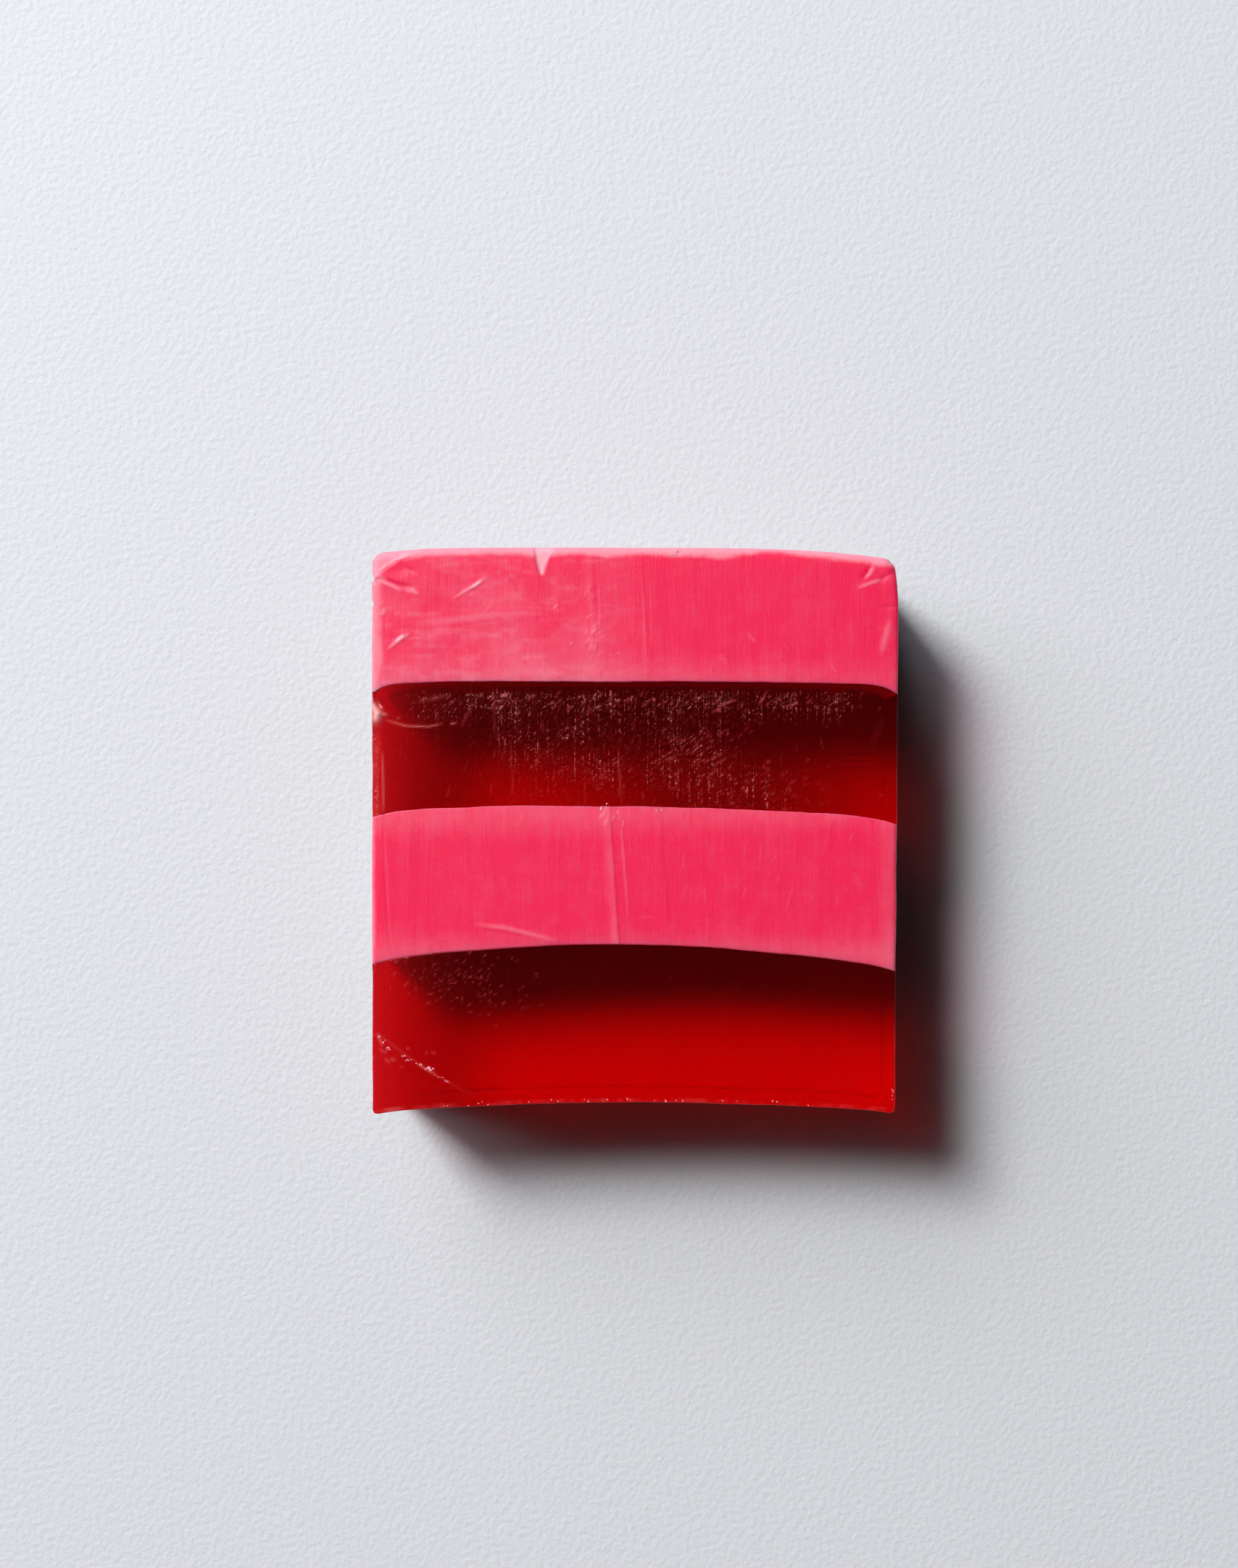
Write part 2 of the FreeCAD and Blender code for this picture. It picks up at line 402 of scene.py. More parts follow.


# Each mark: a path of (x, y) points, its half width, how far it stands proud, how pale it is. Some of
# that paleness is painted light: highlights on creases and edges that face the light, and glints on the
# red layers' torn faces.
MARKS = {
    "top_pink_layer": [
        # Two creases, each with a painted highlight along it.
        ([(-24.2, 30.8), (-22.3, 32.0), (-21.0, 32.7), (-19.8, 33.6)], 0.18, 0.08, 0.55),
        ([(-21.9, 32.2), (-21.1, 32.7), (-20.4, 33.3)], 0.20, 0.06, 0.95),
        ([(-32.9, 24.1), (-31.3, 25.4), (-30.0, 26.2)], 0.20, 0.08, 0.55),
        ([(-31.9, 24.9), (-31.2, 25.6), (-30.7, 25.9)], 0.24, 0.08, 1.0),
        ([(-31.2, 25.5), (-28.6, 25.6), (-25.4, 25.4)], 0.25, 0.02, 0.18),
        ([(-31.0, 24.2), (-27.0, 24.5), (-25.6, 24.4)], 0.22, 0.02, 0.12),
        ([(-32.6, 22.2), (-28.6, 22.6)], 0.25, 0.01, 0.10),
        ([(-10.9, 29.5), (-10.3, 30.1)], 0.13, 0.04, 0.50),
        ([(-19.9, 29.1), (-18.5, 31.0)], 0.20, 0.03, 0.25),
        ([(-29.3, 27.6), (-24.6, 27.9), (-20.9, 28.5), (-15.5, 28.9), (-11.8, 28.9)], 0.55, 0.03, 0.24),
        ([(-26.0, 26.6), (-20.5, 27.4), (-15.3, 28.0)], 0.20, 0.02, 0.16),
        ([(-20.9, 28.9), (-15.0, 29.8), (-9.0, 29.2)], 0.25, 0.02, 0.16),
        ([(-18.5, 31.8), (-15.2, 31.2), (-12.0, 29.6)], 0.30, 0.02, 0.12),
        ([(-16.5, 33.6), (-15.6, 32.2), (-14.5, 30.9)], 0.25, -0.06, 0.00),
        ([(-33.8, 33.2), (-32.4, 32.6), (-31.0, 31.8)], 0.22, 0.10, 0.55),
        ([(-30.4, 31.7), (-29.6, 31.9), (-28.8, 31.4)], 0.30, 0.08, 0.40),
        ([(-34.9, 33.5), (-33.2, 33.3), (-31.6, 32.6), (-29.6, 32.3)], 0.28, -0.22, 0.00),
        ([(-31.6, 36.4), (-30.7, 35.0), (-29.3, 34.3)], 0.30, -0.12, 0.00),
        ([(-33.4, 35.4), (-31.8, 36.2), (-29.6, 36.6)], 0.16, 0.05, 0.85),
        ([(-34.4, 34.4), (-33.0, 35.4)], 0.16, 0.05, 0.80),
        ([(-34.7, 28.4), (-33.6, 28.9), (-33.3, 29.6)], 0.30, 0.05, 0.45),
        ([(29.6, 32.3), (31.2, 32.9), (32.7, 33.4)], 0.20, 0.06, 0.42),
        ([(31.9, 35.3), (31.2, 34.1), (30.6, 33.7)], 0.20, 0.05, 0.30),
        ([(31.4, 35.6), (30.5, 33.8), (29.9, 33.6)], 0.28, -0.14, 0.00),
        ([(34.6, 34.3), (33.4, 33.9), (32.3, 33.0)], 0.28, -0.14, 0.00),
        ([(32.9, 29.7), (34.8, 29.7)], 0.20, -0.08, 0.05),
        # A painted highlight: a pale blurred streak near the +X edge.
        ([(33.8, 27.9), (33.2, 25.6), (32.6, 23.4)], 0.40, 0.05, 0.26),
        ([(-6.2, 33.5), (-5.8, 28.0), (-5.9, 20.0)], 0.14, 0.02, 0.20),
        ([(-4.9, 33.5), (-4.7, 26.0), (-4.8, 20.0)], 0.12, 0.02, 0.22),
        ([(-2.6, 34.0), (-2.4, 27.0)], 0.12, 0.02, 0.14),
        ([(0.9, 33.5), (1.2, 26.0), (1.4, 20.0)], 0.14, 0.02, 0.16),
        ([(2.0, 33.0), (2.1, 24.0)], 0.12, 0.02, 0.14),
    ]
    + flecks(1, 26, (-5.9, 25.2), (1.4, 1.6), 48, 1.0, 0.13, 0.04, 0.45)
    + flecks(2, 14, (-8.0, 31.5), (2.0, 1.5), 45, 1.6, 0.14, 0.02, 0.18)
    + flecks(3, 22, (-20.0, 22.0), (7.0, 1.2), 60, 1.2, 0.16, 0.02, 0.16)
    + flecks(4, 14, (14.0, 22.5), (6.0, 2.0), -50, 1.4, 0.14, 0.02, 0.20),
    "middle_pink_layer": [
        ([(-21.2, -12.5), (-17.6, -12.9), (-13.5, -13.9), (-9.9, -14.8)], 0.30, 0.07, 0.26),
        ([(-19.5, -13.3), (-14.0, -14.3)], 0.15, -0.05, 0.00),
        ([(-33.5, 2.0), (-33.2, -6.0), (-32.5, -17.0)], 0.14, -0.06, 0.10),
        ([(-2.0, 1.8), (-1.5, -5.0), (-1.0, -11.4)], 0.12, 0.04, 0.22),
        ([(-1.0, -11.5), (4.0, -11.5)], 0.12, 0.01, 0.07),
        ([(4.2, -1.0), (3.8, -13.0)], 0.14, 0.01, 0.06),
    ]
    + flecks(5, 18, (18.0, -4.0), (9.0, 4.0), 86, 2.4, 0.13, 0.02, 0.14)
    + flecks(6, 16, (-4.0, 1.6), (1.6, 0.5), 70, 0.7, 0.12, 0.04, 0.45),
    # Red marks: a flake, scratches and drag lines, and many painted glints of the window on the torn
    # face.
    "upper_red_layer": [
        ([(-23.2, 13.6), (-22.4, 15.2), (-21.4, 17.0)], 0.22, 0.08, 0.10),
        ([(-33.2, 14.7), (-30.5, 13.9), (-27.5, 13.8), (-25.6, 14.2)], 0.13, 0.05, 0.42),
        ([(-24.6, 14.2), (-23.9, 14.3)], 0.13, 0.03, 0.45),
        ([(-35.0, 17.0), (-34.3, 15.6), (-34.6, 14.3)], 0.55, 0.28, 0.90),
        ([(-34.6, 15.6), (-33.0, 15.4)], 0.22, 0.10, 0.55),
        ([(-34.8, 18.4), (-34.3, 17.2), (-33.9, 16.3)], 0.30, -0.35, 0.00),
        # A painted highlight line near the -X side.
        ([(-33.6, 10.5), (-33.5, 6.0), (-33.5, 2.4)], 0.13, 0.06, 0.32),
        ([(-28.8, 17.2), (-26.5, 17.4), (-25.2, 18.0)], 0.30, 0.10, 0.10),
        # Painted glints on the crinkled band.
        ([(-17.9, 17.8), (-17.5, 18.0), (-17.0, 18.3)], 0.18, 0.08, 0.55),
        ([(11.0, 16.6), (13.5, 17.4)], 0.16, 0.06, 0.30),
        ([(20.0, 16.5), (21.6, 16.9)], 0.16, 0.06, 0.28),
        ([(16.4, 16.8), (17.2, 17.9)], 0.16, 0.06, 0.30),
        ([(31.4, 11.0), (32.2, 13.0), (32.7, 15.0)], 0.45, 0.04, 0.04),
        # Drag lines made paler with painted glints along them.
        ([(-18.7, 19.0), (-18.8, 15.0), (-18.6, 12.3)], 0.10, 0.03, 0.14),
        ([(-16.6, 12.5), (-16.4, 8.0), (-16.2, 3.9)], 0.10, 0.04, 0.14),
        ([(-2.3, 10.9), (-2.1, 7.0), (-1.9, 3.4)], 0.11, 0.04, 0.22),
    ]
    # Pale flecks: painted glints on the crinkled band, along the drag lines and on the ridged patch,
    # and short scratches with glints lower right.
    + flecks(7, 70, (0.0, 17.2), (16.0, 0.7), 42, 0.7, 0.13, 0.05, 0.26)
    + flecks(8, 90, (-4.0, 10.0), (12.0, 3.6), 88, 1.3, 0.10, 0.03, 0.15)
    + flecks(12, 46, (9.0, 11.0), (3.6, 2.4), 32, 0.8, 0.12, 0.03, 0.26)
    + flecks(13, 60, (15.0, 5.6), (7.0, 1.9), 50, 0.5, 0.12, 0.03, 0.22),
    "lower_red_layer": [
        ([(-34.3, -26.9), (-30.0, -30.2), (-25.6, -33.0), (-21.1, -35.5)], 0.14, 0.05, 0.12),
        ([(-29.0, -31.0), (-27.6, -31.8), (-26.4, -32.5)], 0.18, 0.08, 0.40),
        ([(-34.3, -26.9), (-33.6, -28.6)], 0.16, 0.06, 0.30),
    ]
    # The first and last of these are painted glints speckled over the cut; the middle ones follow the
    # crumb-dotted scratch.
    + flecks(9, 100, (-22.0, -20.6), (4.8, 2.3), 34, 0.42, 0.09, 0.03, 0.30)
    + flecks(10, 14, (-30.5, -29.7), (2.4, 0.9), -35, 0.6, 0.13, 0.04, 0.25)
    + flecks(11, 14, (10.0, -21.0), (10.0, 2.5), 35, 0.5, 0.11, 0.02, 0.10),
}


def ridge_line(y):
    """X of the ridge that one nick in the blade left along the whole cut."""
    return -3.3 - 0.067 * y


def second_ridge_line(y):
    """X of the fainter ridge beside it."""
    return 3.4 - 0.075 * y


def sawtooth(off, rise, fall):
    """A ridge that rises slowly from -rise to 0 and falls away by fall."""
    return step(-rise, 0.0, off) * (1 - step(0.0, fall, off))


def chip(points):
    """The notch broken out of the first pour's rim, 1 at its deepest."""
    x, y = points[:, 0], points[:, 1]
    t = np.clip((y - 33.8) / (HIGH[1] - 33.8), 0, 1)
    from_left = step(-0.15, 0.15, x + 12.45 + 1.1 * t**0.6)
    from_right = step(-0.15, 0.35, -12.25 + 1.5 * t**1.6 - x)
    return from_left * from_right * step(0.0, 0.15, t)


def corner_facet(points):
    """The worn facet across the first pour's -X corner."""
    x, y = points[:, 0], points[:, 1]
    inside = (y - 33.7) - 0.64 * (x + 34.9)
    return step(-0.25, 0.45, inside + 0.25 * noise(points, (0.9, 1.6, 9), 91))


def side_facet(points):
    """The narrow facet along the upper red layer's -X side."""
    x, y = points[:, 0], points[:, 1]
    return step(0.0, 0.9, -33.7 - x) * step(0.5, 2.0, y) * (1 - step(12.5, 14.5, y))


def lip(points):
    """The thin burr along the lower red layer's free end."""
    x, y = points[:, 0], points[:, 1]
    above = y - LINES[4](x, THICKNESS)
    return step(0.75, 0.35, above) * (0.5 + 0.5 * noise(points, (1.6, 9, 9), 92))


def cut_height(points, node, is_pink):
    """How far the upper cut face stands from its plane."""
    x, y = points[:, 0], points[:, 1]
    height = 0.10 * noise(points, (26, 22, THROUGH), 51)
    height += 0.015 * noise(points, (1.5, 24, THROUGH), 52)
    height += 0.006 * noise(points, (0.5, 10, THROUGH), 53)
    middle = step(-20, -14, y) * (1 - step(2, 5, y))
    strength = (0.25 + 0.75 * middle) if is_pink else 0.20
    height += 0.09 * strength * sawtooth(x - ridge_line(y), 1.5, 0.2)
    height += 0.03 * strength * sawtooth(x - second_ridge_line(y), 1.2, 0.4)
    if node == "top_pink_layer":
        height += 0.03 * noise(points, (2.4, 3.0, THROUGH), 54) * step(6.0, -12.0, x)
        height -= 0.55 * corner_facet(points) * step(31.0, 36.5, y)
        height -= 0.12 * blob(points, (-31.6, 34.6), (1.5, 0.9))
        height -= 0.22 * chip(points)
    if node == "upper_red_layer":
        height -= 0.25 * side_facet(points)
        height += 0.05 * noise(points, (2.2, 1.5, THROUGH), 55) * roughness_map(points, node)
        ripples = np.sin(7.4 * y + 1.2 * noise(points, 4, 56))
        height += 0.025 * ripples * blob(points, (29.5, 9.0), (4.5, 2.4))
    if node == "lower_red_layer":
        height += 0.10 * lip(points)
    for path, width, proud, _ in MARKS[node]:
        height += proud * stroke(points, path, width)
    return height


def roughness_map(points, node):
    """Where the knife tore and rippled a red layer's cut face, 0 to 1."""
    x, y = points[:, 0], points[:, 1]
    ends = step(-31.5, -28.5, x) * (1 - step(27, 31, x))
    if node == "upper_red_layer":
        ragged = 0.9 * noise(points, (3.0, 2.0, THROUGH), 63)
        ragged += 0.4 * noise(points, (0.9, 0.9, THROUGH), 64)
        patchy = 0.45 + 0.55 * step(-0.3, 0.5, noise(points, (4.0, 2.2, THROUGH), 65))
        band = step(13.4, 16.2, y + ragged) * (1 - step(18.0, 19.0, y)) * ends * patchy
        streaks = 0.75 * blob(points, (-5.0, 10.5), (20, 7.0)) * patchy
        patch = 0.45 * blob(points, (9.0, 9.5), (5.5, 5.5))
        low = 0.5 * blob(points, (16.0, 5.0), (9.0, 3.0))
        calm = 1 - 0.85 * blob(points, (17.0, 12.3), (5.0, 2.6)) - 0.6 * blob(points, (-27, 9), (5, 6))
        return np.clip((band + streaks + patch + low) * calm, 0, 1) + 0.6 * side_facet(points)
    glint_specks = blob(points, (-24.5, -19.8), (7.0, 3.6)) + 0.4 * blob(points, (-5, -18.0), (14, 2.0))
    return np.clip(0.25 * glint_specks + 0.08 * noise(points, (9, 5, THROUGH), 61), 0, 1)


def rim_band(points, node):
    """1 on the pale rim that borders the upper cut face, 0 inside it: worn skin, with a painted sheen
    where the rounded rim faces the light.
    """
    x, y = points[:, 0], points[:, 1]
    ragged = noise(points, (4.5, 4.5, THROUGH), 93) + 0.35 * noise(points, (1.2, 1.2, THROUGH), 94)
    fine = 0.08 * noise(points, (0.5, 0.6, THROUGH), 95)
    left = x + half_width(y, points[:, 2], -1)
    if node != "top_pink_layer":
        return 0.6 * step(0.45, -0.3, left - 0.3 - 0.15 * ragged + fine)
    band = 0.8 * step(0.6, -0.6, left - 1.2 - 0.5 * ragged + fine)
    under = top_edge(x, points[:, 2]) - y
    width = 1.10 + 0.35 * ragged + 0.5 * np.exp(-(((x - 11.8) / 1.6) ** 2))
    width -= 0.35 * blob(points, (19, 37), (6, 9))
    band = np.maximum(band, step(0.45, -0.45, under - width + fine))
    band = np.maximum(band, 0.85 * corner_facet(points))
    return np.maximum(band, 1.35 * chip(points))


def pink_paleness(points, normals, node):
    """How pale the pink is: worn skin and a painted sheen at the rim, a bloom on the walls, smears and
    a painted sheen on the cut, and on the middle pour a painted highlight on the ridge.
    """
    x, y, z = points.T
    wall = step(0.25, 0.8, 1 - np.abs(normals[:, 2]))
    near_cut = step(THICKNESS - 2.2, THICKNESS - 0.6, z)
    # The rim's paleness is worn skin and a painted sheen, where the rounded rim faces the light.
    pale = 0.62 * rim_band(points, node) * near_cut
    blotch = 0.5 + 0.5 * noise(points, (5, 4, THROUGH), 72)
    fine = 0.5 + 0.5 * noise(points, (1.2, 3.0, THROUGH), 73)
    wisp = noise(points, (2.8, 0.7, THROUGH), 74) + 0.5 * noise(points, (0.9, 0.5, THROUGH), 75)
    wisp = np.maximum(wisp, 0)
    # Patchy pale haze over the cut faces: partly smears, partly a painted sheen of the window light.
    haze_and_painted_sheen = 0.03 * blotch * fine
    if node == "top_pink_layer":
        haze_and_painted_sheen = haze_and_painted_sheen + 0.15 * step(24.5, 19.5, y) * (0.6 + 0.5 * blotch) * (1 - 0.4 * step(10, 25, x))
        haze_and_painted_sheen = haze_and_painted_sheen + 0.07 * step(8.0, -14.0, x) * (0.3 + 0.8 * blotch)
        haze_and_painted_sheen = haze_and_painted_sheen + 0.12 * step(4.0, -10.0, x) * wisp
        haze_and_painted_sheen = haze_and_painted_sheen + 0.10 * blob(points, (-15, 23), (8, 3.5))
        haze_and_painted_sheen = haze_and_painted_sheen + 0.08 * blob(points, (-19, 31), (5, 2.5))
        haze_and_painted_sheen = haze_and_painted_sheen + 0.08 * blob(points, (-6, 22), (2.5, 6))
        haze_and_painted_sheen = haze_and_painted_sheen * (1 - 0.8 * blob(points, (-31.8, 34.4), (1.8, 1.3)))
    else:
        edges = np.maximum(step(-1.5, 2.8, y - 0.02 * x), step(-12.2, -16.8, y))
        haze_and_painted_sheen = haze_and_painted_sheen + 0.14 * edges + 0.08 * step(31.0, 34.0, x)
        # Painted highlight on the ridge's slow rise, the flank that faces the light.
        haze_and_painted_sheen = haze_and_painted_sheen + 0.13 * sawtooth(x - ridge_line(y), 1.5, 0.15)
    pale = np.maximum(pale, haze_and_painted_sheen)
    pale = pale * (1 - wall) + wall * (0.13 + 0.30 * near_cut)
    for path, width, _, paleness in MARKS[node]:
        pale = np.maximum(pale, paleness * stroke(points, path, width * 1.1) * near_cut)
    return np.clip(pale, 0, 1)


def red_paleness(points, node):
    """How pale a red layer's surface is, 0 to 1: scuffs, a burr and a flake, a little along the -X side
    facet, and painted glints among the marks.
    """
    near_cut = step(THICKNESS - 2.0, THICKNESS - 0.4, points[:, 2])
    pale = np.zeros(len(points))
    if node == "upper_red_layer":
        pale = 0.10 * side_facet(points) * (0.5 + 0.5 * noise(points, (0.6, 1.5, THROUGH), 96))
    else:
        pale = 0.30 * np.clip(lip(points), 0, 1) * (0.4 + 0.6 * noise(points, (0.7, 0.7, THROUGH), 97))
    for path, width, _, paleness in MARKS[node]:
        pale = np.maximum(pale, paleness * stroke(points, path, width))
    return np.clip(pale * near_cut, 0, 1)


def shade_map(points):
    """Where the torn cut face of the upper red layer scatters the light back out, 0 to 1."""
    return 0.94 * blob(points, (-2.0, 16.0), (23, 9.0)) + 0.08 * noise(points, (6, 4, THROUGH), 62)


def cloudiness_and_side_light(points):
    """A little cloud all through the red soap, and far more near the -X wall so that the wall side
    lights up: it stands in for window light that enters through that wall and fades inwards.
    """
    return 0.035 + 0.44 * np.exp(-np.maximum(points[:, 0] + HALF_TOP, 0) / 3.6)


def light_let_in(points, normals, node):
    """How much direct light a red layer lets through its skin, 0 to 1."""
    near_corner = np.exp(-np.maximum(points[:, 0] + HALF_TOP, 0) / 4.0)
    free_end = -(1 - 0.6 * near_corner) * normals[:, 1]
    away = step(0.3, 0.7, np.maximum(normals[:, 0], free_end))
    left_wall = step(0.3, 0.7, -normals[:, 0])
    cut = step(0.7, 0.9, normals[:, 2])
    is_torn = node == "upper_red_layer"
    torn = 0.95 * shade_map(points) if is_torn else 0.0
    dulled = 0.75 if is_torn else 0.50
    return (1 - away) * (1 - dulled * left_wall) * (1 - cut * torn)


def light_past_edges(points, normals, index):
    """How much direct light a pink layer lets past its thin upper edges, 0 to 1."""
    torn = 0.95 * shade_map(points) * step(0.7, 0.9, normals[:, 2]) if index == 0 else 0.0
    x, y, z = points.T
    above_joint = y - LINES[index + 1](x, z)
    joint = step(19.5, 20.5, z) * step(6.0, 4.5, above_joint) * (1 - step(0.3, 0.7, normals[:, 0]))
    rim = step(2.0, 1.0, half_width(y, z, 1) - x) * step(THICKNESS - 3.2, THICKNESS - 2.0, z)
    joint = joint * (0.8 if index == 0 else 1.0)
    return np.maximum(joint * (1 - torn), 0.8 * rim)


def make_layer(index, node, material):
    """One pour: its mesh with the marks of the cut, and the numbers that its material reads."""
    layer = Layer(index)
    points, faces = layer.mesh_data()
    near_top = step(THICKNESS - 3.0, THICKNESS - 0.5, points[:, 2])
    points[:, 2] += near_top * cut_height(points, node, layer.is_pink)
    near_floor = 1 - step(0.5, 2.0, points[:, 2])
    points[:, 2] += near_floor * (FLOOR_GAP + 0.02 + 0.02 * noise(points, (1.2, 20, 9), 81))
    normals = vertex_normals(points, faces)
    values = {"cut": step(0.80, 0.97, np.abs(normals[:, 2]))}
    if layer.is_pink:
        values["pale"] = pink_paleness(points, normals, node)
        values["lets_light"] = light_past_edges(points, normals, index)
    else:
        values["pale"] = red_paleness(points, node)
        values["lets_light"] = light_let_in(points, normals, node)
        values["rough"] = roughness_map(points, node) * step(0.5, 0.9, normals[:, 2])
        # The cloud near the -X wall is painted side light, weaker on the walls than on the cut faces.
        values["cloud_and_side_light"] = cloudiness_and_side_light(points) * (0.35 + 0.65 * step(0.5, 0.9, normals[:, 2]))
        values["ridged"] = blob(points, (9.0, 11.0), (4.2, 2.9)) * (node == "upper_red_layer")
    piece = build_mesh(node.replace("_layer", "_soap"), points, faces, values)
    piece.data.materials.append(material)
    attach(piece, "root")
    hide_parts(node)
    return piece


CRUMB_PALENESS = 0.75
CRUMB_STRETCH = ((0.8, 1.5), (0.7, 1.1), (0.5, 0.8))  # least and most along X, Y and Z


def crumb_places():
    """Where crumbs of soap lie on the upper cut face: (x, y, size)."""
    random = np.random.default_rng(77)
    places = []

    def scatter(count, start, end, off, low, high):
        """Adds crumbs along a straight line. off: how far they stray from it."""
        start, end = np.array(start), np.array(end)
        for _ in range(count):
            along = start + random.random() * (end - start)
            x, y = along + random.normal(0, off, 2)
            places.append((x, y, random.uniform(low, high)))

    scatter(7, (-4.9, 3.1), (-3.4, 3.2), 0.15, 0.14, 0.30)
    scatter(5, (2.6, 2.7), (3.6, 2.6), 0.12, 0.12, 0.24)
    scatter(11, (-34.2, -27.2), (-32.5, -29.3), 0.20, 0.12, 0.28)
    scatter(12, (-31.2, -29.8), (-28.4, -31.1), 0.14, 0.12, 0.26)
    scatter(11, (-28.0, -31.2), (-27.0, -31.9), 0.16, 0.16, 0.32)
    scatter(12, (-26.8, -32.2), (-24.6, -33.7), 0.18, 0.10, 0.18)
    for x in random.uniform(-26, 34, 34):
        y = float(LINES[4](np.array([x]), THICKNESS)[0])
        places.append((x, y + random.uniform(0.12, 0.55), random.uniform(0.09, 0.22)))
    scatter(7, (33.9, -36.2), (34.2, -34.0), 0.10, 0.10, 0.22)
    scatter(6, (5.1, 36.7), (5.5, 37.1), 0.12, 0.14, 0.28)
    return places


def add_crumbs(material):
    """Crumbs as small uneven lumps, all in one mesh."""
    random = np.random.default_rng(78)
    mesh_data = bmesh.new()
    bmesh.ops.create_icosphere(mesh_data, subdivisions=2, radius=0.5)
    ball = np.array([vertex.co for vertex in mesh_data.verts])
    ball_faces = np.array([[vertex.index for vertex in face.verts] for face in mesh_data.faces])
    mesh_data.free()
    all_points, all_faces = [], []
    for number, (x, y, size) in enumerate(crumb_places()):
        stretch = size * np.array([random.uniform(*limits) for limits in CRUMB_STRETCH])
        lumps = ball * (1 + 0.35 * noise(ball + number * 3.7, 0.45, 98))[:, None] * stretch
        turn = random.uniform(0, math.pi)
        turned_x = lumps[:, 0] * math.cos(turn) - lumps[:, 1] * math.sin(turn)
        turned_y = lumps[:, 0] * math.sin(turn) + lumps[:, 1] * math.cos(turn)
        all_faces.append(ball_faces + number * len(ball))
        z = THICKNESS + 0.1 * size + lumps[:, 2]
        all_points.append(np.stack([x + turned_x, y + turned_y, z], -1))
    points, faces = np.concatenate(all_points), np.concatenate(all_faces)
    zero = np.zeros(len(points))
    values = {"pale": zero + CRUMB_PALENESS, "cut": zero, "lets_light": zero}
    piece = build_mesh("soap_crumbs", points, faces, values)
    piece.data.materials.append(material)
    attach(piece, "root")


# ---------------------------------------------------------------- materials

def new_material(name):
    """A material with an empty node tree, and that tree."""
    material = bpy.data.materials.new(name)
    material.use_nodes = True
    material.node_tree.nodes.clear()
    return material, material.node_tree


def add(tree, kind, inputs=None, **settings):
    """Adds a node. Its inputs are given by name or number, as values or as other nodes' outputs."""
    node = tree.nodes.new(kind)
    for key, value in settings.items():
        setattr(node, key, value)
    for key, value in (inputs or {}).items():
        if isinstance(value, bpy.types.NodeSocket):
            tree.links.new(value, node.inputs[key])
        else:
            node.inputs[key].default_value = value
    return node


def value_of(tree, name):
    """A number kept at the mesh's vertices."""
    return add(tree, "ShaderNodeAttribute", attribute_name=name).outputs["Fac"]


def math_node(tree, operation, first, second=0.0):
    """The result of a Math node."""
    return add(tree, "ShaderNodeMath", {0: first, 1: second}, operation=operation).outputs[0]


def times(tree, first, second):
    """The product of two values."""
    return math_node(tree, "MULTIPLY", first, second)


def sum_of(tree, values):
    """All the values added up."""
    total = values[0]
    for value in values[1:]:
        total = math_node(tree, "ADD", total, value)
    return total


def noise_node(tree, size_mm, detail=2.0, rough=0.5, turn=(0, 0, 0)):
    """Noise in lumps of a size in mm for X, Y and Z, from 0 to 1."""
    place = add(tree, "ShaderNodeTexCoord").outputs["Object"]
    scale = tuple(1 / (size * MM) for size in size_mm)
    turned = add(tree, "ShaderNodeMapping", {"Vector": place, "Rotation": turn}).outputs[0]
    scaled = add(tree, "ShaderNodeMapping", {"Vector": turned, "Scale": scale}).outputs[0]
    inputs = {"Vector": scaled, "Scale": 1.0, "Detail": detail, "Roughness": rough}
    return add(tree, "ShaderNodeTexNoise", inputs).outputs["Fac"]


def centred(tree, value, amount):
    """Turns 0 to 1 into -amount to amount."""
    return times(tree, math_node(tree, "SUBTRACT", value, 0.5), 2 * amount)


def tops_of(tree, value, level, gain):
    """Only the part of a value above a level, times a gain."""
    above = math_node(tree, "MAXIMUM", math_node(tree, "SUBTRACT", value, level), 0.0)
    return times(tree, above, gain)


def ridges(tree, spacing_mm, turn):
    """Wavering parallel ridges, from 0 to 1."""
    place = add(tree, "ShaderNodeTexCoord").outputs["Object"]
    turned = add(tree, "ShaderNodeMapping", {"Vector": place, "Rotation": (0, 0, turn)}).outputs[0]
    scale = math.pi / 10 / (spacing_mm * MM)
    inputs = {"Vector": turned, "Scale": scale, "Distortion": 4.0, "Detail": 2.0, "Detail Scale": 0.25}
    return add(tree, "ShaderNodeTexWave", inputs, bands_direction="Y").outputs["Fac"]


def mix_colour(tree, factor, first, second):
    """The first colour where the factor is 0, the second where it is 1."""
    node = add(tree, "ShaderNodeMix", data_type="RGBA")
    for socket, value in ((node.inputs[0], factor), (node.inputs[6], first), (node.inputs[7], second)):
        if isinstance(value, bpy.types.NodeSocket):
            tree.links.new(value, socket)
        else:
            socket.default_value = value
    return node.outputs[2]


def muted_for_bounces(tree, colour, muted):
    """Keeps the bar from tinting the floor round it: bounced light meets a muted colour."""
    bounced = add(tree, "ShaderNodeLightPath").outputs["Is Diffuse Ray"]
    return mix_colour(tree, bounced, colour, muted)


def let_light_through(tree, shader, colour):
    """Direct light passes straight through the surface, as strongly as the colour says."""
    clear = add(tree, "ShaderNodeBsdfTransparent", {"Color": colour})
    rays = add(tree, "ShaderNodeLightPath").outputs["Is Shadow Ray"]
    inputs = {0: rays, 1: shader.outputs[0], 2: clear.outputs[0]}
    return add(tree, "ShaderNodeMixShader", inputs).outputs[0]


def bump(tree, height_mm):
    """A normal from a height in mm."""
    return add(tree, "ShaderNodeBump", {"Height": height_mm, "Distance": MM}).outputs[0]


